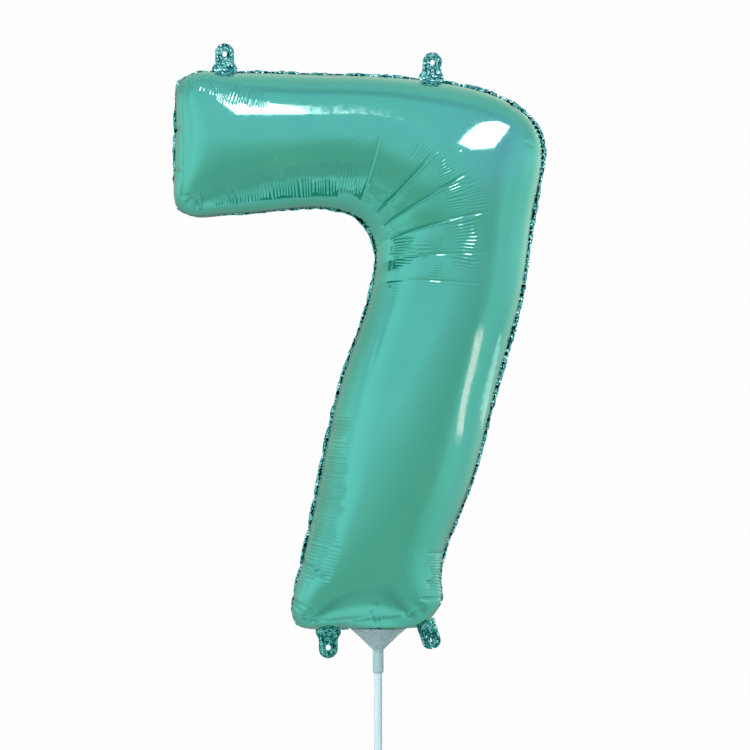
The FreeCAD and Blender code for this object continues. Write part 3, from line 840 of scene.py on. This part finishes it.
def ramp_node(tree, stops, source, low, high):
    """A colour ramp read between low and high."""
    span = tree.nodes.new("ShaderNodeMapRange")
    span.inputs["From Min"].default_value = low
    span.inputs["From Max"].default_value = high
    ramp = tree.nodes.new("ShaderNodeValToRGB")
    while len(ramp.color_ramp.elements) < len(stops):
        ramp.color_ramp.elements.new(0.5)
    for element, (at, colour) in zip(ramp.color_ramp.elements, stops):
        element.position = (at - low) / (high - low)
        element.color = (*colour, 1)
    tree.links.new(source, span.inputs["Value"])
    tree.links.new(span.outputs["Result"], ramp.inputs["Fac"])
    return ramp.outputs["Color"]


def mixed(tree, fac, a, b, kind="MIX"):
    """A colour mix of two inputs; each of the three is a socket to read or a plain value."""
    node = tree.nodes.new("ShaderNodeMix")
    node.data_type = "RGBA"
    node.blend_type = kind
    for name, value in (("Factor", fac), ("A", a), ("B", b)):
        if isinstance(value, bpy.types.NodeSocket):
            tree.links.new(value, node.inputs[name])
        else:
            node.inputs[name].default_value = value
    return node.outputs["Result"]


def world():
    """A pale studio: the room that the film mirrors, with a white backdrop behind the balloon."""
    w = bpy.data.worlds.new("studio")
    bpy.context.scene.world = w
    w.use_nodes = True
    tree = w.node_tree
    where = tree.nodes.new("ShaderNodeTexCoord").outputs["Generated"]
    split = tree.nodes.new("ShaderNodeSeparateXYZ")
    tree.links.new(where, split.inputs["Vector"])

    def ramp(stops, axis):
        return ramp_node(tree, stops, split.outputs[axis], -1.0, 1.0)

    low = ramp([(-0.80, WHITE), (-0.50, BLACK)], "Z")
    room = mixed(tree, low, ramp(ROOM, "Z"), ramp(LOW_SIDES, "X"), "MULTIPLY")
    edge = ramp([(-0.20, WHITE), (-0.02, SIDE_DARK), (0.10, SIDE_DARK), (0.30, WHITE)], "Y")
    ring = mixed(tree, ramp([(-0.2, WHITE), (0.5, BLACK)], "Z"), edge, (*WHITE, 1))
    upper_right = tree.nodes.new("ShaderNodeMath")
    upper_right.operation = "MULTIPLY"
    tree.links.new(ramp([(0.0, BLACK), (0.75, WHITE)], "X"), upper_right.inputs[0])
    tree.links.new(ramp([(-0.30, BLACK), (0.10, WHITE)], "Z"), upper_right.inputs[1])
    tint = mixed(tree, upper_right.outputs[0], ring, LILAC)
    below = tree.nodes.new("ShaderNodeVectorMath")
    below.operation = "DOT_PRODUCT"
    below.inputs[1].default_value = SHADED_WAY
    tree.links.new(where, below.inputs[0])
    shaded = ramp_node(tree, [(0.0, BLACK), (0.30, WHITE)], below.outputs["Value"], -1.0, 1.0)
    rear = mixed(tree, shaded, ramp(BACKDROP, "Y"), ramp(BACKDROP_SHADE, "Y"))
    rear = mixed(tree, 1, rear, ramp(BACKDROP_HEIGHT, "Z"), "MULTIPLY")
    sides = ramp([(-0.98, SIDE_GLOW), (-0.70, BLACK), (0.80, BLACK), (0.96, SIDE_GLOW)], "X")
    front = mixed(tree, 1, mixed(tree, 1, room, tint, "MULTIPLY"), sides, "ADD")
    both = mixed(tree, ramp([(-0.05, BLACK), (0.30, WHITE)], "Y"), front, rear)
    ray = tree.nodes.new("ShaderNodeLightPath")
    both = mixed(tree, ray.outputs["Is Camera Ray"], both, SEEN_WHITE)
    both = mixed(tree, ray.outputs["Is Diffuse Ray"], both, ROOM_FOR_MATT)
    tree.links.new(both, tree.nodes["Background"].inputs["Color"])


def card(name, corners, strength, colour=(1, 1, 1)):
    """A lit studio card with those corners, which only shows in reflections."""
    mesh = bpy.data.meshes.new(name)
    mesh.from_pydata(corners, [], [list(range(len(corners)))])
    material = bpy.data.materials.new(name)
    material.use_nodes = True
    tree = material.node_tree
    tree.nodes.clear()
    glow = tree.nodes.new("ShaderNodeEmission")
    glow.inputs["Color"].default_value = (*colour, 1)
    glow.inputs["Strength"].default_value = strength
    end = tree.nodes.new("ShaderNodeOutputMaterial")
    tree.links.new(glow.outputs[0], end.inputs["Surface"])
    mesh.materials.append(material)
    obj = bpy.data.objects.new(name, mesh)
    obj.visible_camera = False
    obj.visible_shadow = False
    obj.visible_diffuse = False
    bpy.context.scene.collection.objects.link(obj)


WHITE_GLOW = (1.0, 0.34, 0.38)      # looks white in the teal film
LIGHT_FROM = (-0.45, -0.85, 0.62)
ROOM_FOR_MATT = (0.30, 0.31, 0.31, 1)   # how matt surfaces see the room, beside that light


def low_card():
    """The dim lower part of the room in front of the balloon, which fades out upwards and sideways."""
    side, top, low, away = 3.0, 0.62, -0.5, -1.2
    corners = [(-side, away, low), (side, away, low), (side, away, top), (-side, away, top)]
    card("low_card", corners, 1.0, (0.61, 0.66, 0.55))
    tree = bpy.data.materials["low_card"].node_tree
    where = tree.nodes.new("ShaderNodeTexCoord")
    split = tree.nodes.new("ShaderNodeSeparateXYZ")
    tree.links.new(where.outputs["Object"], split.inputs["Vector"])
    upwards = [(-0.1, WHITE), (0.15, (0.8,) * 3), (0.35, (0.35,) * 3), (0.6, BLACK)]
    sideways = [(-side, BLACK), (-side * 0.4, WHITE), (side * 0.4, WHITE), (side, BLACK)]
    fade = ramp_node(tree, upwards, split.outputs["Z"], low, top)
    sides = ramp_node(tree, sideways, split.outputs["X"], -side, side)
    both = tree.nodes.new("ShaderNodeMath")
    both.operation = "MULTIPLY"
    tree.links.new(fade, both.inputs[0])
    tree.links.new(sides, both.inputs[1])
    clear = tree.nodes.new("ShaderNodeBsdfTransparent")
    mix = tree.nodes.new("ShaderNodeMixShader")
    tree.links.new(both.outputs[0], mix.inputs["Fac"])
    tree.links.new(clear.outputs[0], mix.inputs[1])
    tree.links.new(tree.nodes["Emission"].outputs[0], mix.inputs[2])
    tree.links.new(mix.outputs[0], tree.nodes["Material Output"].inputs["Surface"])


# The cards that the film's white highlights mirror: name, strength, colour and corners in metres
CARDS = [
    ("top_card", 13.0, WHITE_GLOW,
     [(-0.26, -0.60, 1.02), (-0.036, -0.560, 1.107), (-0.05, -0.41, 1.235), (-0.16, -0.33, 1.28),
      (-0.32, -0.47, 1.15)]),
    ("corner_card", 13.0, WHITE_GLOW,
     [(0.182, -0.638, 0.966), (0.359, -0.31, 1.205), (0.473, -0.163, 1.194), (0.578, -0.121, 1.116),
      (0.523, -0.483, 0.915), (0.306, -0.622, 0.922)]),
    ("strip_card", 5.0, (1.0, 0.30, 0.31),
     [(0.717, -0.227, 0.343), (0.664, -0.376, 0.364), (0.718, -0.177, 0.268), (0.729, -0.014, 0.266)]),
    ("rear_card", 1.9, (1.0, 0.70, 0.70),
     [(0.727, 0.296, 0.330), (0.727, 0.296, 0.306), (0.50, 0.57, 0.338), (0.50, 0.57, 0.358)]),
]


def soft_light():
    """A large soft light for the plastic and the floor, which the film doesn't mirror."""
    data = bpy.data.lights.new("soft_light", "SUN")
    data.angle = 0.6
    data.energy = 2.9
    obj = bpy.data.objects.new("soft_light", data)
    obj.rotation_euler = mathutils.Vector(LIGHT_FROM).to_track_quat("Z", "Y").to_euler()
    obj.visible_glossy = False
    bpy.context.scene.collection.objects.link(obj)


def camera():
    data = bpy.data.cameras.new("camera")
    data.lens = 150
    data.sensor_width = 36
    obj = bpy.data.objects.new("camera", data)
    obj.location = (-0.002, -1.953, 0.478)
    obj.rotation_euler = (math.pi / 2, 0, 0)
    bpy.context.scene.collection.objects.link(obj)
    bpy.context.scene.camera = obj


bpy.context.scene.view_settings.view_transform = "Standard"
floor()
world()
for name, strength, colour, corners in CARDS:
    card(name, corners, strength, colour)
low_card()
soft_light()
camera()
